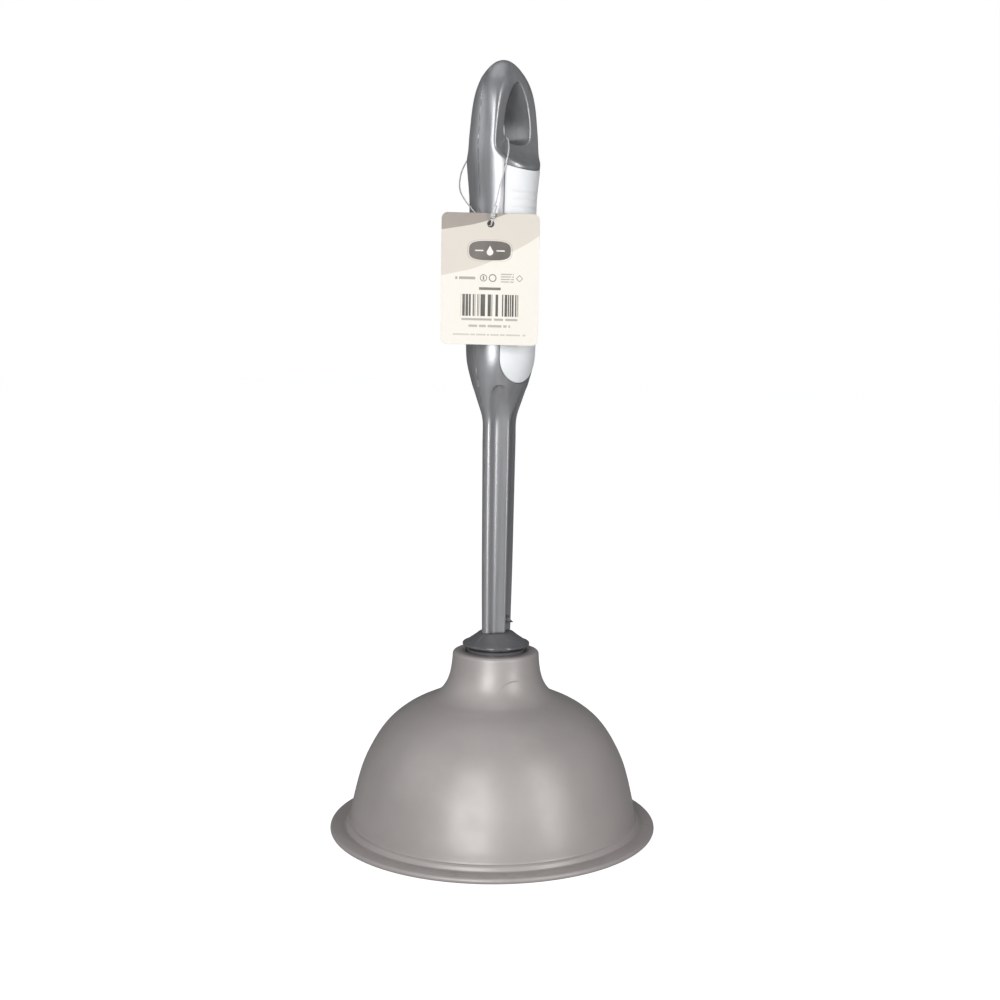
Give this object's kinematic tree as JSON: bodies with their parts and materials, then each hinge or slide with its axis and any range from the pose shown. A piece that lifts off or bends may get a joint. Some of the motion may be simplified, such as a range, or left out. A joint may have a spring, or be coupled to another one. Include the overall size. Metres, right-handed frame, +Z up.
{
  "type": "toilet plunger",
  "caption": "Hand plunger with a soft flared cup, a fluted handle with a hang eye and a soft grip pad, and a card tag on a nylon loop.",
  "frame": {"origin": "centre of the rim's underside, on the surface that the cup stands on", "axes": "+Z up along the handle, -Y out of the grip pad's face, X along the seam of the two handle shells"},
  "size_m": [0.16, 0.16, 0.3701],
  "materials": {
    "cup": "satin pearl-grey soft PVC",
    "connector": "fine-grained dark grey plastic",
    "handle": "satin metallic silver-grey plastic",
    "grip": "soft near-white elastomer",
    "tag": "printed card",
    "string": "clear nylon"
  },
  "bodies": {
    "cup": {"cup": "cup"},
    "handle": {"connector": "connector", "handle_front": "handle", "handle_back": "handle", "grip_pad": "grip", "tag_string": "string"},
    "latch": {"snap_latch": "connector"},
    "lock": {"tag_string_lock": "string"},
    "tag": {"hang_tag": "tag"}
  },
  "joints": [
    {"name": "plunge", "type": "slide", "parent": "cup", "child": "handle", "axis": [0, 0, 1], "range_m": [-0.03, 0], "stiffness_N_per_m": 2000, "springref_m": 0.002, "deforming": ["cup"]},
    {"name": "latch_press", "type": "hinge", "parent": "handle", "child": "latch", "pos_m": [0.00232, -0.00157, 0.127], "axis": [0.5592, 0.829, 0], "range_deg": [0, 11], "stiffness_Nm_per_rad": 0.3, "springref_deg": -2.86},
    {"name": "tag_sway", "type": "hinge", "parent": "handle", "child": "lock", "pos_m": [-0.01977, -0.01106, 0.293], "axis": [0.7314, 0.682, 0], "range_deg": [-15, 15]},
    {"name": "tag_flap", "type": "hinge", "parent": "lock", "child": "tag", "pos_m": [-0.01977, -0.01106, 0.293], "axis": [-0.682, 0.7314, 0], "range_deg": [-4, 45]}
  ]
}
